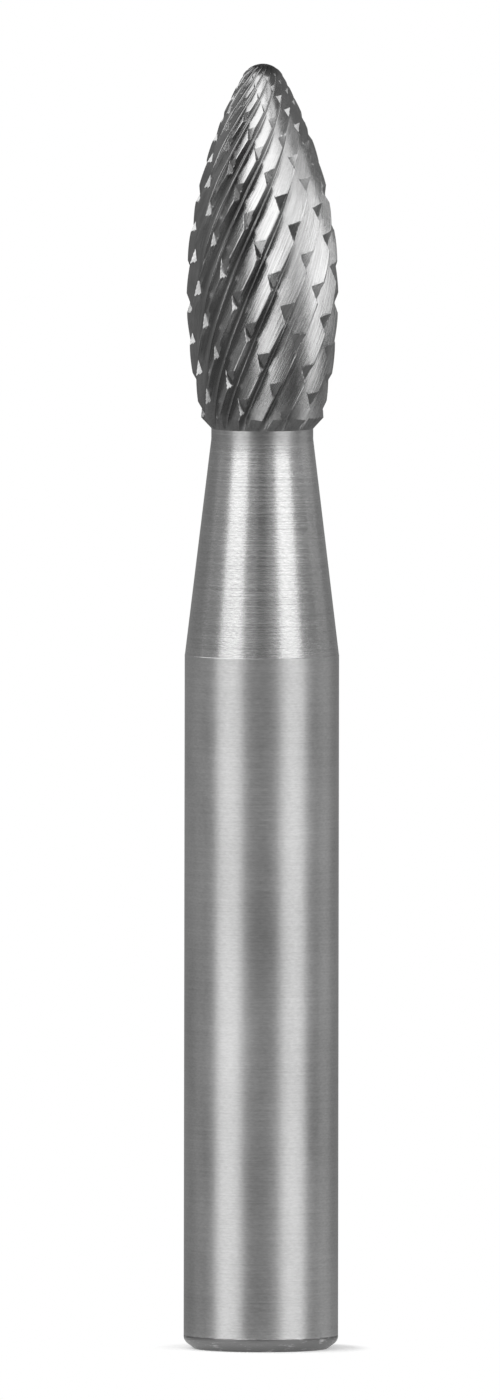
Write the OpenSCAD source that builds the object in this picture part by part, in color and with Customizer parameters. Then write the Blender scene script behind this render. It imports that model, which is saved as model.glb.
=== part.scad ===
// Rotary burr: a flame-shaped carbide cutting head with a double cut,
// butt-brazed to a plain steel shank that narrows to a neck behind the head.
// Units are millimetres. +Z runs from the shank's free end to the head's tip,
// and the origin is the centre of the shank's end face.

/* [Shank] */
// Diameter of the ground shank that the collet holds
shank_d = 6; // [5.6:0.1:8]
// Length from the free end to where the neck starts
shank_len = 27; // [16:0.1:45]
// Height at which the chamfer of the free end would meet the shank's side
chamfer_h = 0.32; // [0.2:0.02:0.8]
// Diameter of the flat end face inside the chamfer
end_face_d = 5.2; // [4.4:0.1:5.4]
// Radius that rounds the chamfer into the shank's side
shoulder_r = 0.35; // [0.2:0.05:0.6]

/* [Neck] */
// Length of the tapered neck
neck_len = 8.4; // [4:0.1:14]
// Diameter of the neck where it meets the head
neck_d = 3.96; // [3:0.02:4.2]
// Length of the straight land between the taper and the head
land_len = 0.4; // [0.2:0.05:1]

/* [Cutting head] */
// Largest diameter over the tooth tips
head_d = 5.92; // [5.2:0.02:7.4]
// Length of the head from the braze to the tip
head_len = 14.2; // [12:0.1:17]
// Height of the largest diameter above the braze
belly_h = 5.4; // [4.5:0.05:6.4]
// Radius of the long curve below the largest diameter
lower_curve_r = 21.8; // [17:0.1:60]
// Radius of the rounded tip
tip_r = 0.9; // [0.7:0.05:1.2]
// Height of the bevel under the teeth, next to the neck
bevel_h = 0.43; // [0.3:0.01:0.8]

/* [Main flutes] */
// Number of right-hand flutes
flute_count = 16; // [10:1:18]
// Angle between a flute and the head's axis, in degrees
flute_angle = 26; // [12:0.5:30]
// Depth of a flute at the largest diameter
flute_depth = 0.44; // [0.36:0.01:0.54]
// How fast all cuts get shallower where the head is thinner: 1 is as fast as its radius
depth_fade = 1.4; // [0.6:0.05:1.6]
// Share of the pitch that the cutting face takes, from the edge to its foot
face_share = 0.14; // [0.08:0.01:0.22]
// Share of the pitch that the rounded bottom of a flute takes
root_share = 0.09; // [0.05:0.01:0.14]
// Turn of the first cutting edge from the front, at the largest diameter, in degrees
flute_phase = 6; // [-20:0.5:20]

/* [Chip breakers] */
// Number of left-hand chip-breaker grooves
breaker_count = 10; // [6:1:12]
// Angle between a chip-breaker groove and the head's axis, in degrees
breaker_angle = 24; // [12:0.5:30]
// Depth of a chip breaker at the largest diameter
breaker_depth = 0.23; // [0.1:0.01:0.3]
// Share of the groove spacing that the long wall takes
long_wall_share = 0.32; // [0.2:0.01:0.45]
// Share of the groove spacing that the steep wall takes
steep_wall_share = 0.09; // [0.03:0.01:0.14]
// Turn of the first groove from the front, at the largest diameter, in degrees
breaker_phase = 10.5; // [-36:0.5:36]

/* [Hidden] */

steel = [0.66, 0.66, 0.66];
carbide = [0.42, 0.42, 0.43];
round_faces = 96;
convexity = 6;
// Room for rounding when two shares are compared
slack = 0.001;

// Heights along the axis
neck_z = shank_len;
land_z = neck_z + neck_len;
braze_z = land_z + land_len;

// The flame is three arcs in one plane, each met by the next at a shared tangent:
// a long arc below the belly, a long arc above it and the round tip.
// A point on them is named by the direction of its normal, in degrees above level.
belly_r = head_d / 2;
tip_rise = head_len - tip_r - belly_h;
upper_curve_r = (belly_r * belly_r + tip_rise * tip_rise - tip_r * tip_r)
    / (2 * (belly_r - tip_r));
bottom_normal = -asin((belly_h - bevel_h) / lower_curve_r);
tip_normal = atan2(tip_rise, upper_curve_r - belly_r);
// The flutes run out this far round the tip, where they would crowd together
last_normal = 62;

function arc_radius(normal) =
    normal < 0 ? lower_curve_r : normal < tip_normal ? upper_curve_r : tip_r;
function arc_offset(normal) =
    normal < tip_normal ? belly_r - arc_radius(normal) : 0;
function arc_height(normal) =
    normal < tip_normal ? belly_h : head_len - tip_r;
function flame_r(normal) = arc_offset(normal) + arc_radius(normal) * cos(normal);
function flame_z(normal) = arc_height(normal) + arc_radius(normal) * sin(normal);

// A helix that keeps one angle to the axis turns through tan(angle) times the
// path below. The path is the sum of arc length over radius, in degrees, counted
// from the belly towards the tip.
steps_a_degree = 4;
path_start = floor(bottom_normal * steps_a_degree);
path_end = ceil(last_normal * steps_a_degree);
function path_step(i) =
    let (normal = (i + 0.5) / steps_a_degree)
    arc_radius(normal) / flame_r(normal) / steps_a_degree;
path_table = [
    for (i = path_start, path = 0; i <= path_end; path = path + path_step(i), i = i + 1)
        [path, i / steps_a_degree]
];
normal_table = [for (pair = path_table) [pair[1], pair[0]]];
function path_at(normal) = lookup(normal, normal_table) - lookup(0, normal_table);
function normal_at(path) = lookup(path + lookup(0, normal_table), path_table);
first_path = path_at(bottom_normal);
last_path = path_at(last_normal);

flute_pitch = 360 / flute_count;
breaker_pitch = 360 / breaker_count;

// Columns follow the flutes. Each is a share of the pitch past a cutting edge:
// the edge, the foot of its face, the far side of the root, and the next tooth's
// back up to where it stands as deep as a chip breaker.
back_start = face_share + root_share;
back_share = 1 - back_start;
breaker_reach = back_share * breaker_depth / flute_depth;
column_shares = [0, face_share, back_start, 1 - breaker_reach, 1 - breaker_reach / 2];
column_kinds = len(column_shares);
column_count = flute_count * column_kinds;
function tooth_depth(share) =
    share < face_share ? share / face_share
    : share < back_start ? 1
    : (1 - share) / back_share;

// Rows follow the chip breakers. Each is a share of the spacing above a groove's
// bottom: the bottom, the long wall, three across the land and the steep wall's top.
land_rows = 3;
steep_top = 1 - steep_wall_share;
row_shares = concat(
    [0, long_wall_share / 2],
    [for (i = [0:land_rows])
        long_wall_share + (steep_top - long_wall_share) * i / land_rows]
);
row_kinds = len(row_shares);
function breaker_cut(share) =
    share < long_wall_share ? 1 - share / long_wall_share
    : share < steep_top ? 0
    : (share - steep_top) / steep_wall_share;

function column_turn(column) =
    flute_phase + flute_pitch * (floor(column / column_kinds)
        + column_shares[column % column_kinds]);
function row_share(row) = row_shares[(row % row_kinds + row_kinds) % row_kinds];
function row_turn(row) =
    breaker_phase + breaker_pitch * (floor(row / row_kinds) + row_share(row));
// Where a row crosses a column, as a path from the belly
turn_a_path = tan(flute_angle) + tan(breaker_angle);
function crossing(column, row) = (row_turn(row) - column_turn(column)) / turn_a_path;

// Rows that come closer than this share of the mean row spacing to either end
// of a column are left out of it
clearance_share = 0.25;
end_clearance = clearance_share * breaker_pitch / row_kinds / turn_a_path;
first_row = row_kinds * floor(
    (column_turn(0) - breaker_phase + first_path * turn_a_path) / breaker_pitch);
last_row = row_kinds * ceil(
    (column_turn(column_count) - breaker_phase + last_path * turn_a_path) / breaker_pitch);
function rows_inside(column) = [
    for (row = [first_row:last_row])
        if (crossing(column, row) > first_path + end_clearance
            && crossing(column, row) < last_path - end_clearance) row
];
column_rows = [for (column = [0:column_count - 1]) rows_inside(column)];
function row_low(column) = column_rows[column][0];
function row_high(column) = column_rows[column][len(column_rows[column]) - 1];

// One point of the cut surface. The deeper of the flute and the chip breaker
// wins, both get shallower as the head gets thinner, and the depth is measured
// along the flame's normal.
function cut_point(column, path, cut) =
    let (normal = normal_at(path))
    let (shape = max(flute_depth * tooth_depth(column_shares[column % column_kinds]),
        breaker_depth * cut))
    let (depth = shape * pow(flame_r(normal) / belly_r, depth_fade))
    let (r = flame_r(normal) - depth * cos(normal))
    let (z = braze_z + flame_z(normal) - depth * sin(normal))
    let (turn = column_turn(column) + tan(flute_angle) * path)
    [r * sin(turn), -r * cos(turn), z];
// One point of the ring where the bevel meets the neck
function braze_point(column) =
    let (path = first_path - bevel_h / belly_r * 180 / PI)
    let (turn = column_turn(column) + tan(flute_angle) * path)
    [neck_d / 2 * sin(turn), -neck_d / 2 * cos(turn), braze_z];

// How deep the chip breakers are where a column ends, between its rows
function end_cut(column, path) =
    let (place = (column_turn(column) + path * turn_a_path - breaker_phase) / breaker_pitch)
    breaker_cut(place - floor(place));
function column_points(column) = concat(
    [braze_point(column)],
    [cut_point(column, first_path, end_cut(column, first_path))],
    [for (row = column_rows[column])
        cut_point(column, crossing(column, row), breaker_cut(row_share(row)))],
    [cut_point(column, last_path, end_cut(column, last_path))]
);
column_sizes = [for (column = [0:column_count - 1]) len(column_rows[column]) + 3];
column_starts = [
    for (i = 0, sum = 0; i < column_count; sum = sum + column_sizes[i], i = i + 1) sum
];
point_count = column_starts[column_count - 1] + column_sizes[column_count - 1];
tip_point = point_count;

// Index of a row's point in a column, held at the ends where the row runs off.
// Past the last column the flutes start again, one full turn of grooves lower.
full_turn_rows = breaker_count * row_kinds;
function row_point(column, row) =
    column == column_count ? row_point(0, row - full_turn_rows)
    : low_point(column)
        + min(max(row - row_low(column) + 1, 0), row_high(column) - row_low(column) + 2);
function braze_index(column) = column_starts[column % column_count];
function low_point(column) = braze_index(column) + 1;
function high_point(column) =
    braze_index(column) + column_sizes[column % column_count] - 1;

// The two triangles between neighbouring columns and rows, without one that
// closes up to nothing at an end. The split follows the line where a chip breaker
// runs out in a tooth's back: it falls on the steep wall and climbs elsewhere.
function cell_faces(column, row) =
    let (a = row_point(column, row))
    let (b = row_point(column + 1, row))
    let (c = row_point(column + 1, row + 1))
    let (d = row_point(column, row + 1))
    let (falls = row_share(row) > steep_top - slack)
    concat(
        a == d ? [] : [falls ? [a, d, b] : [a, d, c]],
        b == c ? [] : [falls ? [b, d, c] : [a, c, b]]
    );
function band_rows(column) =
    let (shift = column + 1 == column_count ? full_turn_rows : 0)
    let (next = (column + 1) % column_count)
    [min(row_low(column), row_low(next) + shift) - 1,
        max(row_high(column), row_high(next) + shift)];
head_faces = concat(
    [[for (column = [0:column_count - 1]) braze_index(column)]],
    [for (column = [0:column_count - 1])
        [braze_index(column), low_point(column), braze_index(column + 1)]],
    [for (column = [0:column_count - 1])
        [braze_index(column + 1), low_point(column), low_point(column + 1)]],
    [for (column = [0:column_count - 1])
        let (band = band_rows(column))
        for (row = [band[0]:band[1]]) each cell_faces(column, row)],
    [for (column = [0:column_count - 1])
        [high_point(column), tip_point, high_point(column + 1)]]
);
head_points = concat(
    [for (column = [0:column_count - 1]) each column_points(column)],
    [[0, 0, braze_z + head_len]]
);

// The shoulder is an arc that leaves the shank's side and runs into the chamfer
shoulder_steps = 5;
shoulder_swing = 90 - atan2(chamfer_h, (shank_d - end_face_d) / 2);
shoulder_z = chamfer_h + shoulder_r * tan(shoulder_swing / 2);
function shoulder_point(i) =
    let (swing = shoulder_swing * i / shoulder_steps)
    [shank_d / 2 - shoulder_r * (1 - cos(swing)), shoulder_z - shoulder_r * sin(swing)];

module shank() {
    color(steel)
        rotate_extrude($fn = round_faces)
            polygon(concat(
                [[0, 0], [end_face_d / 2, 0]],
                [for (i = [shoulder_steps:-1:0]) shoulder_point(i)],
                [[shank_d / 2, neck_z], [neck_d / 2, land_z], [neck_d / 2, braze_z],
                    [0, braze_z]]
            ));
}

module cutting_head() {
    color(carbide)
        polyhedron(points = head_points, faces = head_faces, convexity = convexity);
}

shank();
cutting_head();
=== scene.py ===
"""Looks of a rotary burr: a double-cut carbide flame on a ground and turned steel shank.

Metres, +Z from the shank's free end to the tip, origin at the centre of the end face.
Angles round the axis ("turns") are counted from the front, -Y, and grow to the right, +X.
"""

import logging
import math
from dataclasses import dataclass
from enum import Enum
from typing import Any, ClassVar, Union

import bpy
import numpy as np
from mathutils import Matrix, Vector


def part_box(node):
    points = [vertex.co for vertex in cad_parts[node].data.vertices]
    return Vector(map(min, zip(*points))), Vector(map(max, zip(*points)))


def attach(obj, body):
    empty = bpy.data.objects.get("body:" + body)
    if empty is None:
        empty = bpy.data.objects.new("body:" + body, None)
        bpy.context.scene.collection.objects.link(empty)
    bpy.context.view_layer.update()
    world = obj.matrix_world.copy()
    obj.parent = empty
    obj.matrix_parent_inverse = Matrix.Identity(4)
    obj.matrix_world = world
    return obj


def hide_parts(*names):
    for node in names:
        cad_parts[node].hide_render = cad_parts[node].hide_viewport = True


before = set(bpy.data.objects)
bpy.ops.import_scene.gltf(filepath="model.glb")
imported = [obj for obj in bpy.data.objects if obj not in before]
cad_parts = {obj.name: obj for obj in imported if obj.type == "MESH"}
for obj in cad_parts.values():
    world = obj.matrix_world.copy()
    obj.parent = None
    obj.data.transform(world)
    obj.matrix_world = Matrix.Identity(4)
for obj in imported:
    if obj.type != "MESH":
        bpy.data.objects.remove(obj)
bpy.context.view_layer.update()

MM = 0.001
MICRON = 1e-6
FULL_TURN = 2 * math.pi
NOISE_MEAN = 0.5
BODY = "root"

log = logging.getLogger("burr")


class Slot(Enum):
    """The record's material slots."""

    STEEL = "shank_steel"
    CARBIDE = "head_carbide"


class CadNode(Enum):
    """The CAD nodes that the finished pieces stand for."""

    SHANK = "shank"
    HEAD = "cutting_head"


class Layer(Enum):
    """Data that the head's mesh hands to its material."""

    FLUTE_MAP = "flute_map"
    SUNK = "sunk"
    CHIPPED = "chipped"
    NOSE = "nose"
    GIRTH = "girth"


def rounded_steps(
    share: np.ndarray,
    corners: list[tuple[float, float]],
    soft: Union[float, np.ndarray],
    samples: int = 17,
) -> np.ndarray:
    """A chain of straight steps over one spacing, with its inner corners rounded.

    The value is the mean of the straight chain over a window that is `soft` wide on
    each side, and narrower where 0 or 1 is near, so both ends stay sharp.

    Args:
        share: Places along the spacing, from 0 to 1.
        corners: The chain's corners as (share, value).
        soft: Half the width of the window, as a share.
        samples: How many places in the window the mean is taken over.

    Returns:
        The chain's value at each place.
    """
    window = np.minimum(soft, np.minimum(share, 1 - share))[..., None]
    places = share[..., None] + window * np.linspace(-1, 1, samples)
    where, value = np.array(corners).T
    return np.interp(places, where, value).mean(axis=-1)


def line_places(stretches: tuple[tuple[float, int], ...]) -> np.ndarray:
    """Places of the lattice's lines over one spacing, which runs from 0 to 1.

    Args:
        stretches: Where each stretch starts, as a share, and how many even lines it has.

    Returns:
        The places, rising, from the first start to just below 1.
    """
    starts, counts = zip(*stretches)
    ends = (*starts[1:], 1.0)
    return np.concatenate([
        np.linspace(start, end, count, endpoint=False)
        for start, end, count in zip(starts, ends, counts)])


@dataclass(frozen=True)
class Flame:
    """The head's envelope: three arcs that meet at shared tangents.

    A point of the outline is named by the direction of its normal above level. The
    flutes end at `last_normal`, and cuts get shallower with the radius to the power of
    `depth_fade`.
    """

    base_z: float
    length: float
    belly_r: float = 2.96 * MM
    belly_rise: float = 5.4 * MM
    lower_arc_r: float = 21.8 * MM
    tip_r: float = 0.9 * MM
    bevel_rise: float = 0.43 * MM
    last_normal: float = math.radians(62)
    depth_fade: float = 1.4

    @property
    def tip_rise(self) -> float:
        """How far the tip arc's centre stands above the belly."""
        return self.length - self.tip_r - self.belly_rise

    @property
    def upper_arc_r(self) -> float:
        """The arc that is upright at the belly and tangent to the tip arc."""
        squares = self.belly_r**2 + self.tip_rise**2 - self.tip_r**2
        return squares / (2 * (self.belly_r - self.tip_r))

    @property
    def bottom_normal(self) -> float:
        """Normal at the top of the bevel; it looks a little down."""
        return -math.asin((self.belly_rise - self.bevel_rise) / self.lower_arc_r)

    @property
    def tip_normal(self) -> float:
        """Normal where the upper arc runs into the tip arc."""
        return math.atan2(self.tip_rise, self.upper_arc_r - self.belly_r)

    def arc_radius(self, normal: np.ndarray) -> np.ndarray:
        """Radius of the arc that has this normal."""
        upper = np.where(normal < self.tip_normal, self.upper_arc_r, self.tip_r)
        return np.where(normal < 0, self.lower_arc_r, upper)

    def radius(self, normal: np.ndarray) -> np.ndarray:
        """Distance from the axis: the arc's centre plus its radius times cos(normal).

        Args:
            normal: Directions of the outline's normal.

        Returns:
            The distances.
        """
        arc = self.arc_radius(normal)
        centre = np.where(normal < self.tip_normal, self.belly_r - arc, 0)
        return centre + arc * np.cos(normal)

    def height(self, normal: np.ndarray) -> np.ndarray:
        """Height: the arc's centre plus its radius times sin(normal)."""
        centre = np.where(normal < self.tip_normal, self.belly_rise, self.length - self.tip_r)
        return self.base_z + centre + self.arc_radius(normal) * np.sin(normal)

    def path_table(self, samples: int = 6000) -> tuple[np.ndarray, np.ndarray]:
        """Normals, and the path from the belly to each: the sum of arc length over radius.

        A helix that keeps one angle to the axis turns by tan(angle) times this path.

        Args:
            samples: How many normals the table has.

        Returns:
            (normals, paths), both rising.
        """
        normal = np.linspace(self.bottom_normal, self.last_normal, samples)
        rate = self.arc_radius(normal) / self.radius(normal)
        steps = (rate[1:] + rate[:-1]) / 2 * np.diff(normal)
        path = np.concatenate(([0.0], np.cumsum(steps)))
        return normal, path - np.interp(0.0, normal, path)


@dataclass(frozen=True)
class Flutes:
    """The right-hand main flutes, whose cutting edges lie on the flame.

    A share is a place across one pitch: the cutting edge is 0, then come its steep face,
    the root, the straight back and the narrow land of the next edge, which is 1. `root`
    and `land` are corners as (share, depth), before the corners are rounded, and
    `columns` says where each stretch of lattice columns starts and how many it has.
    """

    count: int = 16
    angle: float = math.radians(26)
    depth: float = 0.44 * MM
    phase: float = math.radians(6)
    root: tuple[float, float] = (0.14, 1.13)
    land: tuple[float, float] = (0.96, 0.02)
    mid_back: float = 0.5
    root_soft: float = 0.10
    land_soft: float = 0.01
    columns: tuple[tuple[float, int], ...] = (
        (0.0, 1), (0.04, 2), (0.10, 12), (0.25, 3), (0.60, 7), (0.96, 2))

    @property
    def pitch(self) -> float:
        """Turn from one cutting edge to the next."""
        return FULL_TURN / self.count

    def shares(self) -> np.ndarray:
        """Columns over one pitch, close together at the root, the notches and the land."""
        return line_places(self.columns)

    def cut(self, share: np.ndarray) -> np.ndarray:
        """Depth over the pitch: down the face, round the wide root, and up the straight back
        and the narrow land of the next tooth to its edge.

        Args:
            share: Places across the pitch, from 0 to 1.

        Returns:
            The depths.
        """
        corners = [(0.0, 0.0), self.root, self.land, (1.0, 0.0)]
        soft = np.where(share < self.mid_back, self.root_soft, self.land_soft)
        return self.depth * rounded_steps(share, corners, soft)


@dataclass(frozen=True)
class ChipBreakers:
    """The left-hand grooves that notch the cutting edges.

    A share is a place across one spacing: the groove's deepest line is 0, then come its
    long wall, the land and the steep wall of the next groove. `uneven` is the spread of
    the notches' depths, which stay between `shallowest` and `deepest`.
    """

    count: int = 10
    angle: float = math.radians(24)
    depth: float = 0.23 * MM
    phase: float = math.radians(10.5)
    long_wall: float = 0.32
    steep_wall: float = 0.09
    soft: float = 0.012
    wall_rows: int = 9
    land_rows: int = 5
    steep_rows: int = 4
    uneven: float = 0.07
    shallowest: float = 0.8
    deepest: float = 1.15
    dice_an_edge: int = 64
    seed: int = 4

    @property
    def pitch(self) -> float:
        """Turn from one groove to the next."""
        return FULL_TURN / self.count

    def shares(self) -> np.ndarray:
        """Rows over one spacing, close together across a groove's two walls."""
        return line_places((
            (0.0, self.wall_rows),
            (self.long_wall, self.land_rows),
            (1 - self.steep_wall, self.steep_rows)))

    def cut(self, share: np.ndarray) -> np.ndarray:
        """Depth over the spacing: up the long wall, level over the land, down the steep one."""
        corners = [(0.0, 1.0), (self.long_wall, 0.0), (1 - self.steep_wall, 0.0), (1.0, 1.0)]
        return self.depth * rounded_steps(share, corners, self.soft)

    def scatter(self, edge: np.ndarray, notch: np.ndarray, edges: int) -> np.ndarray:
        """How much deeper or shallower each notch is ground, the same on both sides of a seam.

        Args:
            edge: Number of the cutting edge, which may be one round too high.
            notch: Number of the groove, which rises by `count` with that round.
            edges: How many cutting edges there are.

        Returns:
            A factor near 1 for each place.
        """
        notch = notch - self.count * (edge // edges)
        thrower = np.random.default_rng(self.seed)
        dice = thrower.normal(1.0, self.uneven, (edges, self.dice_an_edge))
        thrown = dice[edge % edges, notch % self.dice_an_edge]
        return np.clip(thrown, self.shallowest, self.deepest)


@dataclass(frozen=True)
class Grain:
    """A noise: how often it changes along each axis, a metre on Object coordinates or a
    millimetre on the flute map, and how much fine detail it has."""

    often: tuple[float, float, float]
    detail: float = 3.0
    rough: float = 0.5


class Expr:
    """A node's output. Arithmetic on one that is a number adds Math nodes to its tree."""

    def __init__(self, graph: "Graph", socket: bpy.types.NodeSocket) -> None:
        """Wraps a socket of the graph."""
        self.graph = graph
        self.socket = socket

    def _math(self, operation: str, first: Any, second: Any) -> "Expr":
        """A Math node on two values or sockets."""
        return self.graph.node("ShaderNodeMath", {"operation": operation}, {0: first, 1: second})

    def __add__(self, other: "Number") -> "Expr":
        """self + other"""
        return self._math("ADD", self, other)

    __radd__ = __add__

    def __sub__(self, other: "Number") -> "Expr":
        """self - other"""
        return self._math("SUBTRACT", self, other)

    def __rsub__(self, other: "Number") -> "Expr":
        """other - self"""
        return self._math("SUBTRACT", other, self)

    def __mul__(self, other: "Number") -> "Expr":
        """self * other"""
        return self._math("MULTIPLY", self, other)

    __rmul__ = __mul__

    def step(self, start: float, end: float) -> "Expr":
        """0 before start and 1 past end, with a smooth rise between them.

        Args:
            start: The value up to which the step is 0.
            end: The value from which on it is 1.

        Returns:
            The step.
        """
        settings = {"interpolation_type": "SMOOTHSTEP"}
        sockets = {"Value": self, "From Min": start, "From Max": end}
        return self.graph.node("ShaderNodeMapRange", settings, sockets)


Number = Union[Expr, float]


class Graph:
    """The node tree of a material or of the world."""

    def __init__(self, owner: Union[bpy.types.Material, bpy.types.World]) -> None:
        """Empties the owner's tree.

        Args:
            owner: The material or the world whose tree this is.
        """
        owner.use_nodes = True
        self.tree = owner.node_tree
        self.tree.nodes.clear()

    def node(
        self,
        kind: str,
        settings: dict[str, Any] | None = None,
        sockets: dict[Union[str, int], Any] | None = None,
        output: Union[str, int] = 0,
    ) -> Expr:
        """Adds a node.

        Args:
            kind: Blender's name of the node's type.
            settings: Properties of the node, set first.
            sockets: A value or an Expr for each input, by name or number.
            output: The output that the result stands for.

        Returns:
            That output.
        """
        made = self.tree.nodes.new(kind)
        for name, value in (settings or {}).items():
            setattr(made, name, value)
        for key, value in (sockets or {}).items():
            if isinstance(value, Expr):
                self.tree.links.new(value.socket, made.inputs[key])
            else:
                made.inputs[key].default_value = value
        return Expr(self, made.outputs[output])

    def place(self) -> Expr:
        """Object coordinates, in metres."""
        return self.node("ShaderNodeTexCoord", output="Object")

    def scaled(self, place: Expr, scale: tuple[float, float, float]) -> Expr:
        """A place times a scale along each axis."""
        return self.node("ShaderNodeVectorMath", {"operation": "MULTIPLY"}, {0: place, 1: scale})

    def rise(self, start: float, end: float) -> Expr:
        """0 below one height and 1 above another, with a smooth rise between them.

        Args:
            start: The lower height, in metres.
            end: The upper height.

        Returns:
            The rise.
        """
        place = self.scaled(self.place(), (1, 1, 1 / MM))
        height = self.node("ShaderNodeSeparateXYZ", sockets={0: place}, output=2)
        return height.step(start / MM, end / MM)

    def from_axis(self, start: float, end: float) -> Expr:
        """0 near the axis and 1 far from it, with a smooth rise between two radii.

        Args:
            start: The smaller radius, in metres.
            end: The larger radius.

        Returns:
            The rise.
        """
        place = self.scaled(self.place(), (1 / MM, 1 / MM, 0))
        settings = {"operation": "LENGTH"}
        away = self.node("ShaderNodeVectorMath", settings, {0: place}, output="Value")
        return away.step(start / MM, end / MM)

    def noise(self, grain: Grain, place: Expr) -> Expr:
        """Noise around NOISE_MEAN at a place.

        Args:
            grain: What the noise is like.
            place: Object coordinates or the flute map.

        Returns:
            The noise.
        """
        sockets = {
            "Vector": self.scaled(place, grain.often),
            "Scale": 1.0,
            "Detail": grain.detail,
            "Roughness": grain.rough,
        }
        return self.node("ShaderNodeTexNoise", sockets=sockets)

    def tone(self, factor: Number, dark: float, pale: float) -> Expr:
        """A neutral grey between two levels.

        Args:
            factor: 0 or less for the dark level, and 1 or more for the pale one.
            dark: The dark level.
            pale: The pale level.

        Returns:
            The colour.
        """
        settings = {"data_type": "RGBA"}
        greys = {"Factor": factor, 6: (dark, dark, dark, 1), 7: (pale, pale, pale, 1)}
        return self.node("ShaderNodeMix", settings, greys, output=2)

    def bump(self, level: Expr, distance: float) -> Expr:
        """A normal from a height field that is `distance` metres tall."""
        return self.node("ShaderNodeBump", sockets={"Height": level, "Distance": distance})

    def metal(self, colour: Expr, roughness: Expr, normal: Expr) -> Expr:
        """A Principled shader of bare metal."""
        sockets = {"Base Color": colour, "Roughness": roughness, "Normal": normal, "Metallic": 1.0}
        return self.node("ShaderNodeBsdfPrincipled", sockets=sockets)

    def glow(self, level: float) -> Expr:
        """White light at one plain level."""
        return self.node("ShaderNodeEmission", sockets={"Strength": level})

    def mixed(self, factor: Expr, first: Expr, second: Expr) -> Expr:
        """The first shader where the factor is 0, and the second where it is 1."""
        return self.node("ShaderNodeMixShader", sockets={0: factor, 1: first, 2: second})

    def finish(self, shader: Expr, kind: str = "ShaderNodeOutputMaterial") -> None:
        """Puts the shader on the tree's output."""
        end = self.tree.nodes.new(kind)
        self.tree.links.new(shader.socket, end.inputs["Surface"])


@dataclass(frozen=True)
class SteelWeights:
    """How much each pattern of the steel adds to its shade, its roughness or its height."""

    base: float = 0.0
    rings: float = 0.0
    neck_rings: float = 0.0
    flecks: float = 0.0
    clouds: float = 0.0
    neck: float = 0.0
    braze_band: float = 0.0
    chamfer: float = 0.0
    scrapes: float = 0.0


@dataclass(frozen=True)
class SteelFinish:
    """Shank steel: fine grinding rings below, turning rings on the neck, a chamfer at the free end
    painted dark, a painted reflection of dark ground, with random pale scrapes, and a darker,
    rougher band next to the braze.

    A shade of 0 is `dark` and one of 1 is `pale`. The chamfer's finish ends at
    `chamfer_top`, a little above the rounded shoulder. The band by the braze starts
    `braze_band_height` below the braze and is full `full_braze_band_height` below it.
    """

    neck_z: float
    braze_z: float
    neck_edge: float = 0.02 * MM
    chamfer_top: float = 0.55 * MM
    chamfer_edge: float = 0.06 * MM
    braze_band_height: float = 1.1 * MM
    full_braze_band_height: float = 0.1 * MM
    dark: float = 0.20
    pale: float = 0.70
    # In shade, chamfer and scrapes paint the chamfer dark, a painted reflection of dark ground,
    # broken by random pale scrapes.
    shade: SteelWeights = SteelWeights(
        base=0.42, rings=0.4, neck_rings=0.1, flecks=0.55, clouds=0.65, braze_band=-0.25,
        chamfer=-2.8, scrapes=3.6)
    roughness: SteelWeights = SteelWeights(
        base=0.33, rings=0.16, clouds=0.10, neck=-0.09, braze_band=0.06, chamfer=0.08)
    relief: SteelWeights = SteelWeights(rings=0.8, neck_rings=0.1, flecks=0.9, scrapes=8.0)
    relief_height: float = 3.0 * MICRON
    ground: Grain = Grain((260, 260, 16000), detail=4, rough=0.6)
    turned: Grain = Grain((260, 260, 15000), detail=3, rough=0.65)
    flecks: Grain = Grain((5500, 5500, 15000), detail=3, rough=0.6)
    clouds: Grain = Grain((420, 420, 160), detail=2)
    scrapes: Grain = Grain((1500, 1500, 6500), detail=4, rough=0.7)

    def build(self) -> bpy.types.Material:
        """Builds the material. Each channel is its base plus every pattern times its weight.

        Returns:
            The material.
        """
        made = bpy.data.materials.new("ground_steel")
        graph = Graph(made)
        neck = graph.rise(self.neck_z - self.neck_edge, self.neck_z + self.neck_edge)
        chamfer = 1 - graph.rise(self.chamfer_top - self.chamfer_edge, self.chamfer_top)
        # The band by the braze: the steel gets darker and rougher next to the braze.
        braze_band = graph.rise(self.braze_z - self.braze_band_height, self.braze_z - self.full_braze_band_height)
        ground, turned, flecks, clouds, scrapes = (
            graph.noise(grain, graph.place())
            for grain in (self.ground, self.turned, self.flecks, self.clouds, self.scrapes))
        rings = ground * (1 - neck) + turned * neck

        weight = self.shade
        # The chamfer term is painted shade: a painted reflection of dark ground on the chamfer,
        # lifted where random pale scrapes are.
        shade = (weight.base + (rings - NOISE_MEAN) * (weight.rings + weight.neck_rings * neck)
                 + (flecks - NOISE_MEAN) * weight.flecks + clouds * weight.clouds
                 + braze_band * weight.braze_band + chamfer * (weight.chamfer + weight.scrapes * scrapes))
        weight = self.roughness
        roughness = (weight.base + (rings - NOISE_MEAN) * weight.rings
                     + (clouds - NOISE_MEAN) * weight.clouds + neck * weight.neck
                     + braze_band * weight.braze_band + chamfer * weight.chamfer)
        weight = self.relief
        level = (rings * (weight.rings + weight.neck_rings * neck) + flecks * weight.flecks
                 + scrapes * chamfer * weight.scrapes)

        colour = graph.tone(shade, self.dark, self.pale)
        graph.finish(graph.metal(colour, roughness, graph.bump(level, self.relief_height)))
        return made


@dataclass(frozen=True)
class CarbideWeights:
    """How much each pattern of the carbide adds to its shade, its roughness or its height."""

    base: float = 0.0
    streaks: float = 0.0
    chipped_streaks: float = 0.0
    clouds: float = 0.0
    grit: float = 0.0
    chipped_grit: float = 0.0
    nose_grit: float = 0.0
    dull_grit: float = 0.0
    roots: float = 0.0
    chipped: float = 0.0
    nose: float = 0.0
    dull: float = 0.0


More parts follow.
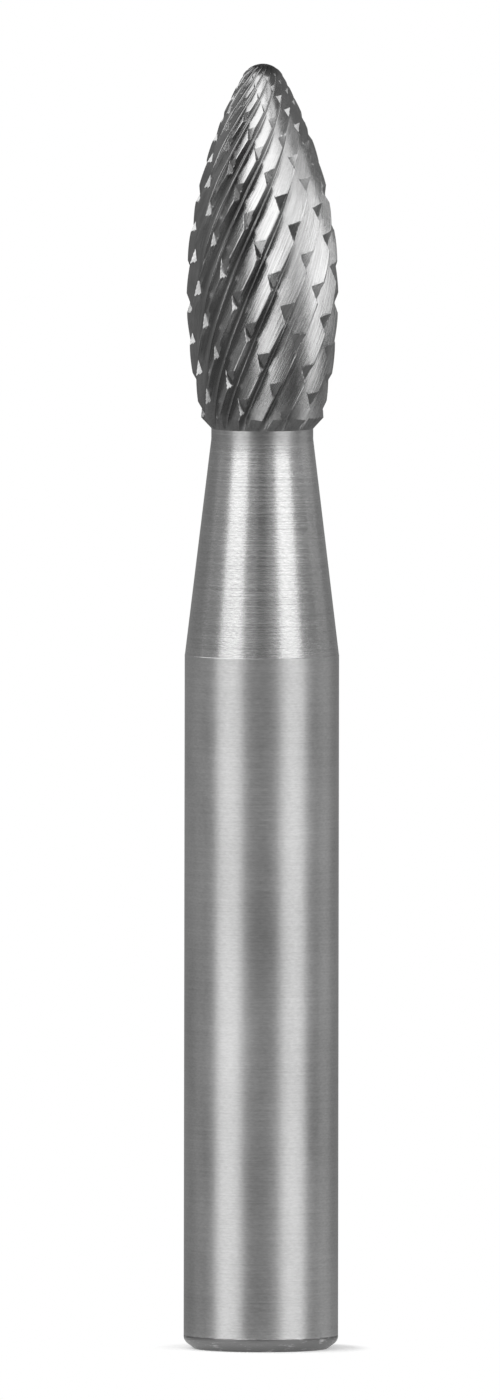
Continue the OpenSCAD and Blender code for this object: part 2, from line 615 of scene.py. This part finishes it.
@dataclass(frozen=True)
class CarbideFinish:
    """Ground carbide: streaks along the flutes, painted shade that darkens the flutes where they
    are sunk deep, darker chip breakers, a gritty nose painted dark, a painted reflection of
    the dark ceiling, and a darker, rougher and grittier end at the braze.

    A shade of 0 is `dark` and one of 1 is `pale`. The end is dull up to `dull_height`
    above the braze, and bright from `bright_height` on.
    """

    braze_z: float
    dull_height: float = 0.2 * MM
    bright_height: float = 2.4 * MM
    dark: float = 0.07
    pale: float = 0.46
    # In shade, the weight on sunk squared is painted shade in the deep parts of the flutes, and
    # the nose weight is a painted reflection of the dark ceiling.
    shade: CarbideWeights = CarbideWeights(
        base=0.82, streaks=1.2, clouds=0.3, grit=0.1, dull_grit=0.7, roots=-0.2,
        chipped=-0.15, nose=-0.65, dull=-0.12)
    roughness: CarbideWeights = CarbideWeights(
        base=0.18, streaks=0.2, clouds=0.10, chipped=0.05, nose=0.06, dull=0.14)
    relief: CarbideWeights = CarbideWeights(
        streaks=1.0, chipped_streaks=-0.5, grit=0.04, chipped_grit=0.05, nose_grit=0.15,
        dull_grit=0.25)
    relief_height: float = 12.0 * MICRON
    streaks: Grain = Grain((14.0, 0.4, 0.0), detail=4, rough=0.7)
    clouds: Grain = Grain((2.2, 0.9, 0.0), detail=3, rough=0.6)
    grit: Grain = Grain((9000, 9000, 9000), detail=3, rough=0.7)

    def build(self) -> bpy.types.Material:
        """Builds the material. Each channel is its base plus every pattern times its weight.
        The streaks fade with the square of the girth, as they crowd together at the tip.

        Returns:
            The material.
        """
        made = bpy.data.materials.new("ground_carbide")
        graph = Graph(made)
        along = graph.node("ShaderNodeUVMap", {"uv_map": Layer.FLUTE_MAP.value})
        sunk, chipped, nose, girth = (
            graph.node("ShaderNodeAttribute", {"attribute_name": layer.value}, output="Fac")
            for layer in (Layer.SUNK, Layer.CHIPPED, Layer.NOSE, Layer.GIRTH))
        dull = 1 - graph.rise(self.braze_z + self.dull_height, self.braze_z + self.bright_height)
        streaks, clouds = graph.noise(self.streaks, along), graph.noise(self.clouds, along)
        grit = graph.noise(self.grit, graph.place())
        wide = girth * girth
        lines = (streaks - NOISE_MEAN) * wide

        # The nose term paints the nose dark, a painted reflection of the dark ceiling; its grit is
        # real relief.
        weight = self.shade
        # The term on sunk squared paints shade into the deep parts of the flutes.
        shade = (weight.base + lines * weight.streaks + (clouds - NOISE_MEAN) * weight.clouds
                 + (grit - NOISE_MEAN) * (weight.grit + weight.dull_grit * dull)
                 + sunk * sunk * weight.roots + chipped * weight.chipped
                 + nose * weight.nose + dull * weight.dull)
        weight = self.roughness
        roughness = (weight.base + lines * weight.streaks
                     + (clouds - NOISE_MEAN) * weight.clouds
                     + chipped * weight.chipped + nose * weight.nose + dull * weight.dull)
        weight = self.relief
        level = (streaks * wide * (weight.streaks + weight.chipped_streaks * chipped)
                 + grit * (weight.grit + weight.chipped_grit * chipped
                           + weight.nose_grit * nose + weight.dull_grit * dull))

        colour = graph.tone(shade, self.dark, self.pale)
        graph.finish(graph.metal(colour, roughness, graph.bump(level, self.relief_height)))
        return made


@dataclass(frozen=True)
class PaperFinish:
    """White paper of the floor. It shows the object's shadow near the foot. A small glow
    that cameras and mirrors see lifts it, and its rim runs into the white background."""

    white: float = 0.88
    fibre_contrast: float = 0.02
    fibre: Grain = Grain((900, 900, 900))
    roughness: float = 0.9
    gloss: float = 0.1
    glow: float = 0.32
    rim_start: float = 3.5 * MM
    rim_end: float = 4.4 * MM

    def build(self) -> bpy.types.Material:
        """Adds the glow to the paper, and mixes in plain white towards the rim.

        Returns:
            The material.
        """
        made = bpy.data.materials.new("white_paper")
        graph = Graph(made)
        camera, glossy, through = (
            graph.node("ShaderNodeLightPath", output=ray)
            for ray in ("Is Camera Ray", "Is Glossy Ray", "Is Transmission Ray"))
        visible = camera + glossy + through
        fibre = graph.noise(self.fibre, graph.place())
        sockets = {
            "Base Color": graph.tone(fibre, self.white - self.fibre_contrast, self.white),
            "Roughness": self.roughness,
            "Specular IOR Level": self.gloss,
        }
        paper = graph.node("ShaderNodeBsdfPrincipled", sockets=sockets)
        lift = graph.mixed(visible, graph.glow(0.0), graph.glow(self.glow))
        inner = graph.node("ShaderNodeAddShader", sockets={0: paper, 1: lift})
        rim = graph.from_axis(self.rim_start, self.rim_end) * visible
        graph.finish(graph.mixed(rim, inner, graph.glow(1.0)))
        return made


@dataclass(frozen=True)
class ClothFinish:
    """Studio cloth at one plain, even level."""

    level: float

    def build(self, name: str) -> bpy.types.Material:
        """Makes the cloth glow.

        Args:
            name: The material's name.

        Returns:
            The material.
        """
        made = bpy.data.materials.new(name)
        graph = Graph(made)
        graph.finish(graph.glow(self.level))
        return made


def on_turn(radius: Any, turn: Any, height: Any) -> np.ndarray:
    """Points: x is the radius times sin(turn), y minus the radius times cos(turn)."""
    x, y = radius * np.sin(turn), -radius * np.cos(turn)
    return np.stack(np.broadcast_arrays(x, y, height), axis=-1)


def lattice_triangles(
    number: np.ndarray, other_way: Union[bool, np.ndarray] = False
) -> np.ndarray:
    """Two triangles for each cell of a lattice that goes round to the right and up.

    Args:
        number: Numbers of the lattice's points, columns by places up the column.
        other_way: Which cells are cut from lower right to upper left, and not from lower
            left to upper right.

    Returns:
        Numbers, one row a triangle, which faces outwards.
    """
    a, b, c, d = number[:-1, :-1], number[1:, :-1], number[1:, 1:], number[:-1, 1:]
    return np.concatenate((
        np.stack((a, b, np.where(other_way, d, c)), axis=-1).reshape(-1, 3),
        np.stack((np.where(other_way, b, a), c, d), axis=-1).reshape(-1, 3)))


def whole_triangles(corners: np.ndarray) -> np.ndarray:
    """Which triangles still have three different corners."""
    return (corners != np.roll(corners, 1, axis=1)).all(axis=1)


def new_object(name: str, points: np.ndarray, faces: np.ndarray) -> bpy.types.Object:
    """Puts the points that the faces name into a new mesh object at the origin.

    Args:
        name: The object's name.
        points: Places for vertices, with x, y and z along the last axis.
        faces: Numbers of points, one row a face, all with as many corners.

    Returns:
        The linked object.
    """
    used, corners = np.unique(faces, return_inverse=True)
    places = points.reshape(-1, 3)[used]
    mesh = bpy.data.meshes.new(name)
    mesh.vertices.add(len(places))
    mesh.vertices.foreach_set("co", places.astype(np.float32).ravel())
    mesh.loops.add(faces.size)
    mesh.loops.foreach_set("vertex_index", corners.astype(np.int32).ravel())
    mesh.polygons.add(len(faces))
    starts = np.arange(0, faces.size, faces.shape[1], dtype=np.int32)
    mesh.polygons.foreach_set("loop_start", starts)
    mesh.update(calc_edges=True)
    mesh.validate()
    made = bpy.data.objects.new(name, mesh)
    bpy.context.scene.collection.objects.link(made)
    return made


def smooth(piece: bpy.types.Object, crease: float) -> None:
    """Shades a piece smooth, with edges sharper than the crease angle left crisp."""
    piece.data.shade_smooth()
    piece.data.set_sharp_from_angle(angle=crease)


def dress(piece: bpy.types.Object, finish: bpy.types.Material, node: CadNode) -> None:
    """Gives a piece its material and its body, and hides the CAD node that it stands for.

    Args:
        piece: The finished mesh object.
        finish: Its material.
        node: The CAD node that it replaces.
    """
    piece.data.materials.append(finish)
    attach(piece, BODY)
    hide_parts(node.value)


@dataclass(frozen=True)
class CuttingHead:
    """The carbide head: a lattice whose columns follow the flutes and whose rows follow
    the chip breakers, wrapped on the flame and closed at the braze and at the tip.

    Columns and rows are named by their turns at the belly. A column and a row meet where
    the path from the belly is the row's turn minus the column's, over `turn_a_path`. A
    row within `end_margin`, a share of the rows' spacing, of an end of the flutes falls
    onto that end.

    The foot is the face at the braze, a centre and a rim, and the nose is what lies past
    the flutes. From where the normal has turned to `nose_start` the finish gets gritty and is
    painted darker, a painted reflection of the dark ceiling. `foot_map` and `nose_map` are how
    far the flute map's path runs on over foot and nose, and `foot_sunk` and `nose_sunk` say how
    sunk they are to the finish, which paints shade where a place is sunk.
    """

    FOOT_RINGS: ClassVar[int] = 2

    flame: Flame
    flutes: Flutes
    breakers: ChipBreakers
    neck_r: float
    nose_rings: int = 8
    nose_start: float = math.radians(26)
    nose_grit: float = 7 * MICRON
    end_margin: float = 0.25
    foot_map: float = 0.6
    nose_map: float = 0.5
    foot_sunk: float = 0.5
    nose_sunk: float = 0.6
    crease: float = math.radians(14)

    @property
    def turn_a_path(self) -> float:
        """How fast flutes and grooves part, as a turn for each unit of path."""
        return math.tan(self.flutes.angle) + math.tan(self.breakers.angle)

    def _column_turns(self) -> np.ndarray:
        """Turn of every column at the belly, with the first repeated one round later.

        Returns:
            The turns, rising.
        """
        flutes = self.flutes
        turns = flutes.pitch * (np.arange(flutes.count)[:, None] + flutes.shares()[None, :])
        return flutes.phase + np.append(turns.ravel(), FULL_TURN)

    def _row_turns(self, first: float, last: float) -> np.ndarray:
        """Turn of every row at the belly, from below the first turn to past the last.

        Args:
            first: The lowest turn that the rows have to reach.
            last: The highest.

        Returns:
            The turns, rising.
        """
        breakers = self.breakers
        low = math.floor((first - breakers.phase) / breakers.pitch) - 1
        high = math.ceil((last - breakers.phase) / breakers.pitch) + 1
        turns = np.arange(low, high)[:, None] + breakers.shares()[None, :]
        return breakers.phase + breakers.pitch * turns.ravel()

    def _notched_turns(self, columns: np.ndarray, rows: np.ndarray) -> np.ndarray:
        """Turns of all rows in each column. Where a groove's long wall comes out through the
        flute, the nearest row is moved to that place, which makes the notch's outline crisp.
        The wall is there at its length times (1 - flute's depth / groove's depth).

        Args:
            columns: Turn of every column at the belly.
            rows: Turn of every row at the belly.

        Returns:
            Turns, columns by rows.
        """
        flutes, breakers = self.flutes, self.breakers
        shares = breakers.shares()
        tooth = ((columns - flutes.phase) / flutes.pitch)[:, None]
        flute = flutes.cut(tooth - np.floor(tooth))
        edge = np.floor(tooth + 0.5).astype(int)
        notch = np.round((rows[None, ::len(shares)] - breakers.phase) / breakers.pitch).astype(int)
        groove = breakers.depth * breakers.scatter(edge, notch, flutes.count)
        place = (breakers.long_wall * (1 - flute / groove))[..., None]
        turns = np.tile(rows, (len(columns), 1)).reshape(len(columns), -1, len(shares))
        nearest = np.abs(shares - place).argmin(axis=-1)[..., None]
        here = np.take_along_axis(turns, nearest, axis=-1)
        there = breakers.phase + breakers.pitch * (notch[..., None] + place)
        np.put_along_axis(turns, nearest, np.where(place > 0, there, here), axis=-1)
        return turns.reshape(len(columns), -1)

    def _surface(self, column: np.ndarray, path: np.ndarray) -> dict[str, np.ndarray]:
        """The cut surface. The deeper of the flute and the groove wins, both get shallower
        as the head gets thinner, and depth is measured along the normal.

        Args:
            column: Turn of the column at the belly.
            path: Path from the belly.

        Returns:
            For each place its point, its depth and turn, and how sunk, how chipped and how
            near the tip it is.
        """
        flame, flutes, breakers = self.flame, self.flutes, self.breakers
        normals, paths = flame.path_table()
        normal = np.interp(path, paths, normals)
        tooth = (column - flutes.phase) / flutes.pitch
        place = (column + self.turn_a_path * path - breakers.phase) / breakers.pitch
        flute = flutes.cut(tooth - np.floor(tooth))
        edge = np.floor(tooth + 0.5).astype(int)
        notch = np.floor(place + 0.5).astype(int)
        scatter = breakers.scatter(edge, notch, flutes.count)
        groove = breakers.cut(place - np.floor(place)) * scatter
        radius = flame.radius(normal)
        depth = np.maximum(flute, groove) * (radius / flame.belly_r) ** flame.depth_fade
        turn = column + math.tan(flutes.angle) * path
        height = flame.height(normal) - depth * np.sin(normal)
        nose = (normal - self.nose_start) / (flame.last_normal - self.nose_start)
        return {
            "points": on_turn(radius - depth * np.cos(normal), turn, height),
            "sunk": np.maximum(flute, groove) / flutes.depth,
            "chipped": (groove > flute).astype(float),
            "nose": np.clip(nose, 0, 1),
            "depth": depth,
            "turn": turn,
        }

    def _nose(self, rim: dict[str, np.ndarray], steps: np.ndarray) -> np.ndarray:
        """Rings from the end of the flutes to the tip. The flutes' depth fades out with the
        square of the way left, and a little random grit is cut in between.

        Args:
            rim: The surface at the end of the flutes, one value a column.
            steps: How far each ring is on its way to the tip, from 0 to 1.

        Returns:
            Points, columns by rings.
        """
        flame = self.flame
        normal = flame.last_normal + (math.pi / 2 - flame.last_normal) * steps[None, :]
        dice = np.random.default_rng(self.breakers.seed).random((len(rim["turn"]) - 1, len(steps)))
        dice = np.vstack((dice, dice[:1]))
        fading = rim["depth"][:, None] * (1 - steps) ** 2
        depth = fading + dice * self.nose_grit * np.sin(math.pi * steps)
        height = flame.height(normal) - depth * np.sin(normal)
        return on_turn(flame.radius(normal) - depth * np.cos(normal), rim["turn"][:, None], height)

    def _foot(self, turn: np.ndarray) -> list[np.ndarray]:
        """The face at the braze: its centre and its rim, which is as wide as the neck."""
        return [on_turn(radius, turn, self.flame.base_z)[:, None, :]
                for radius in (0 * turn, self.neck_r)]

    def _vertex_numbers(self, low: np.ndarray, high: np.ndarray) -> np.ndarray:
        """Number of the vertex at each place of the lattice. Past either end of the flutes
        the rows of a column share one vertex, the last column takes the first one's
        vertices, one round of grooves later, and so do all columns at the foot's centre and
        at the tip.

        Args:
            low: Which places, columns by rows, lie below the flutes.
            high: Which places lie above them.

        Returns:
            Numbers, columns by foot rings, rows and nose rings.
        """
        width, rows = low.shape
        top = self.FOOT_RINGS + rows
        number = np.arange(width * (top + self.nose_rings)).reshape(width, -1)
        body = number[:, self.FOOT_RINGS:top]
        body[:] = np.where(low, body[:, :1], np.where(high, body[:, -1:], body))
        one_round = self.breakers.count * len(self.breakers.shares())
        body[-1] = np.concatenate((np.full(one_round, body[0, 0]), body[0, :-one_round]))
        number[-1, :self.FOOT_RINGS] = number[0, :self.FOOT_RINGS]
        number[-1, top:] = number[0, top:]
        number[:, 0], number[:, -1] = number[0, 0], number[0, -1]
        return number

    def _steep_cells(self, rows: int) -> np.ndarray:
        """Which cells of a column lie on a groove's steep wall, where the notch's outline
        runs the other way.

        Args:
            rows: How many rows the lattice has.

        Returns:
            True or False for each cell up the column.
        """
        shares = len(self.breakers.shares())
        steep = np.arange(rows) % shares >= shares - self.breakers.steep_rows
        return np.concatenate((
            np.zeros(self.FOOT_RINGS, bool), steep, np.zeros(self.nose_rings - 1, bool)))

    def build(self, finish: CarbideFinish) -> bpy.types.Object:
        """The head: the lattice is a full rectangle of columns and rows, and triangles whose
        corners fall together drop out.

        Args:
            finish: What the head is made of.

        Returns:
            The dressed piece.
        """
        flame, breakers, spread = self.flame, self.breakers, self.turn_a_path
        _, paths = flame.path_table()
        first, last = paths[0], paths[-1]
        columns = self._column_turns()
        rows = self._row_turns(columns[0] + first * spread, columns[-1] + last * spread)
        margin = self.end_margin * breakers.pitch / len(breakers.shares()) / spread
        path = (self._notched_turns(columns, rows) - columns[:, None]) / spread
        low, high = path < first + margin, path > last - margin
        path = np.where(low, first, np.where(high, last, path))
        cut = self._surface(np.broadcast_to(columns[:, None], path.shape), path)
        rim = {key: value[:, -1] for key, value in cut.items()}
        steps = np.linspace(0, 1, self.nose_rings + 1)[1:]
        foot_path = first - flame.bevel_rise / flame.belly_r
        foot = self._foot(columns + math.tan(self.flutes.angle) * foot_path)
        points = np.concatenate((*foot, cut["points"], self._nose(rim, steps)), axis=1)

        place = np.arange(points[..., 0].size).reshape(points.shape[:2])
        places = lattice_triangles(place, self._steep_cells(len(rows)))
        corners = self._vertex_numbers(low, high).ravel()[places]
        kept = whole_triangles(corners)
        places, corners = places[kept], corners[kept]
        piece = new_object("carbide_head", points, corners)

        across = np.broadcast_to((columns / self.flutes.pitch)[:, None], points.shape[:2])
        foot_paths = np.tile((foot_path - self.foot_map, foot_path), (len(columns), 1))
        nose_paths = np.tile(last + self.nose_map * steps, (len(columns), 1))
        along = np.concatenate((foot_paths, path, nose_paths), axis=1)
        self._lay_map(piece, across.ravel()[places], along.ravel()[places])
        self._lay_layers(piece, cut, points, np.unique(corners))
        smooth(piece, self.crease)
        dress(piece, finish.build(), CadNode.HEAD)
        return piece

    def _lay_map(self, piece: bpy.types.Object, across: np.ndarray, path: np.ndarray) -> None:
        """Adds a map in millimetres: u runs across the teeth and v along the flutes.

        Args:
            piece: The head.
            across: Tooth number of each face corner.
            path: Path of each face corner from the belly.
        """
        flame, flutes = self.flame, self.flutes
        u = across * flutes.pitch * flame.belly_r / MM
        v = path * flame.belly_r / math.cos(flutes.angle) / MM
        layer = piece.data.uv_layers.new(name=Layer.FLUTE_MAP.value)
        layer.uv.foreach_set("vector", np.stack((u, v), axis=-1).astype(np.float32).ravel())

    def _lay_layers(
        self,
        piece: bpy.types.Object,
        cut: dict[str, np.ndarray],
        points: np.ndarray,
        used: np.ndarray,
    ) -> None:
        """Adds what the finish reads at each vertex. Girth is the distance from the axis,
        as a share of the belly's radius.

        Args:
            piece: The head.
            cut: What _surface says.
            points: Points of the whole lattice.
            used: Places of the lattice that are vertices.
        """
        width = len(points)
        foot, nose = np.ones((width, self.FOOT_RINGS)), np.ones((width, self.nose_rings))
        layers = {
            Layer.SUNK: (self.foot_sunk * foot, cut["sunk"], self.nose_sunk * nose),
            Layer.CHIPPED: (0 * foot, cut["chipped"], 0 * nose),
            Layer.NOSE: (0 * foot, cut["nose"], nose),
            Layer.GIRTH: (np.hypot(points[..., 0], points[..., 1]) / self.flame.belly_r,),
        }
        for layer, stretches in layers.items():
            values = np.concatenate(stretches, axis=1).ravel()[used]
            data = piece.data.attributes.new(layer.value, "FLOAT", "POINT")
            data.data.foreach_set("value", values.astype(np.float32))


@dataclass(frozen=True)
class Shank:
    """The steel shank with its neck: one turned profile carried round the axis.

    The turned neck starts `step` inside the ground shank, over a height of `step_rise`,
    and `edge` sets the small rounding between the end face and the chamfer.
    """

    length: float
    radius: float
    neck_r: float = 1.98 * MM
    neck_z: float = 27.0 * MM
    land_z: float = 35.4 * MM
    end_r: float = 2.6 * MM
    chamfer_z: float = 0.32 * MM
    shoulder_r: float = 0.35 * MM
    edge: float = 0.03 * MM
    step: float = 0.008 * MM
    step_rise: float = 0.012 * MM
    shoulder_rings: int = 9
    side_rings: int = 29
    neck_rings: int = 11
    sides: int = 256
    crease: float = math.radians(15)

    def _shoulder(self) -> list[tuple[float, float]]:
        """The arc from the chamfer into the shank's side, tangent to both: it swings from
        the chamfer's slope to upright.

        Returns:
            Radius and height of its rings.
        """
        swing = math.pi / 2 - math.atan2(self.chamfer_z, self.radius - self.end_r)
        top = self.chamfer_z + self.shoulder_r * math.tan(swing / 2)
        turns = np.linspace(swing, 0, self.shoulder_rings)
        return [(self.radius - self.shoulder_r * (1 - math.cos(turn)),
                 top - self.shoulder_r * math.sin(turn)) for turn in turns]

    def _profile(self) -> np.ndarray:
        """The outline, from the centre of the end face to the centre of the braze.

        Returns:
            Radius and height of every ring.
        """
        end = [(0.0, 0.0), (self.end_r - 3 * self.edge, 0.0), (self.end_r - self.edge, 0.0),
               (self.end_r + 0.5 * self.edge, 0.8 * self.edge)]
        arc = self._shoulder()
        side = [(self.radius, z)
                for z in np.linspace(arc[-1][1], self.neck_z, self.side_rings + 1)[1:]]
        low = np.array((self.radius - self.step, self.neck_z + self.step_rise))
        high = np.array((self.neck_r, self.land_z))
        neck = [tuple(low + (high - low) * t) for t in np.linspace(0, 1, self.neck_rings + 1)]
        braze = [(self.neck_r, self.length), (0.0, self.length)]
        return np.array(end + arc + side + neck + braze)

    def build(self, finish: SteelFinish) -> bpy.types.Object:
        """The shank: rings of as many points each, which fall together on the axis.

        Args:
            finish: What the shank is made of.

        Returns:
            The dressed piece.
        """
        profile = self._profile()
        turn = np.arange(self.sides) * FULL_TURN / self.sides
        rings = on_turn(profile[:, :1], turn[None, :], profile[:, 1:])
        number = np.arange(len(profile) * self.sides).reshape(-1, self.sides)
        number[0], number[-1] = number[0, 0], number[-1, 0]
        corners = lattice_triangles(np.hstack((number, number[:, :1])).T)
        piece = new_object("steel_shank", rings, corners[whole_triangles(corners)])
        smooth(piece, self.crease)
        dress(piece, finish.build(), CadNode.SHANK)
        return piece


@dataclass(frozen=True)
class Softbox:
    """A flat upright lamp that faces the axis, at an azimuth in degrees to the right of
    the camera."""

    name: str
    azimuth: float
    width: float
    bottom: float
    top: float
    level: float
    distance: float = 0.38

    def build(self) -> None:
        """Adds the lamp. Its power is its level times pi times its area."""
        lamp = bpy.data.lights.new(self.name, "AREA")
        lamp.shape = "RECTANGLE"
        lamp.size, lamp.size_y = self.width, self.top - self.bottom
        lamp.energy = self.level * math.pi * self.width * (self.top - self.bottom)
        made = bpy.data.objects.new(self.name, lamp)
        turn = math.radians(self.azimuth)
        made.location = on_turn(self.distance, turn, (self.top + self.bottom) / 2)
        made.rotation_euler = (math.pi / 2, 0, turn)
        bpy.context.scene.collection.objects.link(made)


@dataclass(frozen=True)
class Cloth:
    """A curved upright cloth round the axis, which the camera doesn't see.

    It spans two azimuths, in degrees to the right of the camera, and two heights.
    """

    name: str
    start: float
    end: float
    bottom: float
    top: float
    level: float
    radius: float = 0.37
    facet: float = 4

    def build(self) -> bpy.types.Object:
        """Adds the cloth: points on a cylinder, every few degrees.

        Returns:
            The cloth.
        """
        count = max(2, int((self.end - self.start) / self.facet))
        turn = np.radians(np.linspace(self.start, self.end, count))
        points = np.concatenate((
            on_turn(self.radius, turn, self.bottom), on_turn(self.radius, turn, self.top)))
        low = np.arange(count - 1)
        faces = np.stack((low, low + count, low + count + 1, low + 1), axis=-1)
        made = new_object(self.name, points, faces)
        made.data.materials.append(ClothFinish(self.level).build(self.name))
        made.visible_camera = False
        return made


@dataclass(frozen=True)
class Camera:
    """A camera that draws parallel, as a long lens far away nearly does, a little above
    level. The frame is `tall` pixels tall."""

    tall: float = 1400
    pixels_a_mm: float = 25.74
    elevation: float = math.radians(3.5)
    roll: float = math.radians(0.09)
    aim: tuple[float, float, float] = (-0.46 * MM, 0.0, 25.23 * MM)
    distance: float = 0.18
    nearest: float = 0.01
    farthest: float = 10.0

    def build(self) -> None:
        """Adds the camera and makes it the scene's."""
        lens = bpy.data.cameras.new("camera")
        lens.type = "ORTHO"
        lens.ortho_scale = self.tall / self.pixels_a_mm * MM
        lens.clip_start, lens.clip_end = self.nearest, self.farthest
        made = bpy.data.objects.new("camera", lens)
        back = Vector((0, -math.cos(self.elevation), math.sin(self.elevation)))
        made.location = Vector(self.aim) + back * self.distance
        facing = (-back).to_track_quat("-Z", "Y")
        made.rotation_euler = (facing.to_matrix() @ Matrix.Rotation(self.roll, 3, "Z")).to_euler()
        bpy.context.scene.collection.objects.link(made)
        bpy.context.scene.camera = made


@dataclass(frozen=True)
class Studio:
    """A small round paper floor in a dim closed tent with two softboxes. Paler and darker
    cloths hang inside the tent, where the steel and the carbide mirror them as bands. The
    camera sees none of it, only the floor and the white room outside."""

    floor_r: float = 4.6 * MM
    disc_sides: int = 96
    ground_level: float = 0.26
    ceiling_level: float = 0.20
    softboxes: tuple[Softbox, ...] = (
        Softbox("left_softbox", azimuth=-66, width=0.54, bottom=0.25, top=0.62, level=2.25),
        Softbox("right_softbox", azimuth=51, width=0.37, bottom=0.14, top=0.33, level=2.05),
    )
    cloths: tuple[Cloth, ...] = (
        Cloth("tent", start=-180, end=180, bottom=-0.4, top=0.95, level=0.26, radius=0.6),
        Cloth("front_gap", start=-28, end=27, bottom=-0.03, top=0.12, level=0.10),
        Cloth("front_low", start=-30, end=30, bottom=-0.25, top=-0.03, level=0.36),
        Cloth("left_board", start=-70, end=-29, bottom=-0.06, top=0.012, level=2.0),
        Cloth("right_board", start=28, end=68, bottom=-0.06, top=0.012, level=1.9),
        Cloth("right_edge", start=96, end=124, bottom=-0.10, top=0.06, level=0.45),
        Cloth("left_edge", start=-118, end=-98, bottom=-0.06, top=0.01, level=0.38),
        Cloth("left_fill", start=-97, end=-69, bottom=0.085, top=0.11, level=0.42),
        Cloth("left_line", start=-107, end=-97, bottom=0.08, top=0.11, level=0.8),
        Cloth("right_line", start=97, end=105, bottom=0.08, top=0.11, level=0.6),
        Cloth("left_fade", start=-31, end=-9, bottom=0.08, top=0.115, level=0.6, radius=0.365),
        Cloth("right_fade", start=9, end=29, bottom=0.08, top=0.115, level=0.6, radius=0.365),
        Cloth("left_strip", start=-68, end=-30, bottom=0.07, top=0.17, level=1.85),
        Cloth("right_strip", start=28, end=62, bottom=0.07, top=0.135, level=1.8),
        Cloth("left_middle", start=-80, end=-17, bottom=0.17, top=0.245, level=2.2),
        Cloth("left_far", start=-135, end=-102, bottom=0.24, top=0.50, level=1.8),
        Cloth("left_top", start=-100, end=-14, bottom=0.64, top=0.84, level=1.8),
        Cloth("left_ceiling", start=-32, end=-12, bottom=0.50, top=0.64, level=1.6),
        Cloth("front_top", start=-30, end=22, bottom=0.25, top=0.50, level=1.95),
        Cloth("front_middle", start=-16, end=22, bottom=0.17, top=0.25, level=1.1),
        Cloth("right_top", start=22, end=60, bottom=0.35, top=0.45, level=1.4),
        Cloth("right_far", start=78, end=120, bottom=0.125, top=0.20, level=1.6),
    )

    def _disc(self, name: str, radius: float, height: float) -> bpy.types.Object:
        """A round flat sheet: triangles from its rim to its centre.

        Args:
            name: The object's name.
            radius: How far the rim is from the axis.
            height: How high it lies.

        Returns:
            The sheet.
        """
        sides = self.disc_sides
        here = np.arange(sides)
        rim = on_turn(radius, here * FULL_TURN / sides, height)
        points = np.concatenate((rim, [[0.0, 0.0, height]]))
        faces = np.stack((here, (here + 1) % sides, np.full(sides, sides)), axis=-1)
        return new_object(name, points, faces)

    def _lid(self, name: str, height: float, level: float) -> bpy.types.Object:
        """A round cloth as wide as the tent, which the camera doesn't see.

        Args:
            name: Name of the cloth and of its material.
            height: How high it lies.
            level: How bright it is.

        Returns:
            The cloth.
        """
        made = self._disc(name, self.cloths[0].radius, height)
        made.data.materials.append(ClothFinish(level).build(name))
        made.visible_camera = False
        return made

    def build(self) -> None:
        """Adds the floor, the tent, the lamps, the world and the camera."""
        floor = self._disc("floor", self.floor_r, 0.0)
        floor.data.materials.append(PaperFinish().build())
        tent = self.cloths[0]
        ground = self._lid("tent_ground", tent.bottom, self.ground_level)
        ceiling = self._lid("ceiling", tent.top, self.ceiling_level)
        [cloth.build() for cloth in self.cloths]
        for softbox in self.softboxes:
            softbox.build()
        world = bpy.data.worlds.new("white_room")
        bpy.context.scene.world = world
        graph = Graph(world)
        white = {"Color": (1, 1, 1, 1), "Strength": 1.0}
        graph.finish(graph.node("ShaderNodeBackground", sockets=white), "ShaderNodeOutputWorld")
        bpy.context.scene.view_settings.view_transform = "Standard"
        Camera().build()
        log.info("studio: %d softboxes, %d cloths", len(self.softboxes), len(self.cloths))


def main() -> None:
    """Builds the head, the shank and the studio in order, and reports each piece."""
    logging.basicConfig(level=logging.INFO, format="%(name)s: %(message)s")
    head_low, head_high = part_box(CadNode.HEAD.value)
    _, shank_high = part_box(CadNode.SHANK.value)
    flame = Flame(base_z=head_low.z, length=head_high.z - head_low.z)
    shank = Shank(length=shank_high.z, radius=shank_high.x)
    head = CuttingHead(flame, Flutes(), ChipBreakers(), shank.neck_r)
    pieces = (
        head.build(CarbideFinish(braze_z=flame.base_z)),
        shank.build(SteelFinish(neck_z=shank.neck_z, braze_z=shank.length)))
    for piece in pieces:
        log.info("%s: %d triangles", piece.name, len(piece.data.polygons))
    Studio().build()


if __name__ == "__main__":
    main()
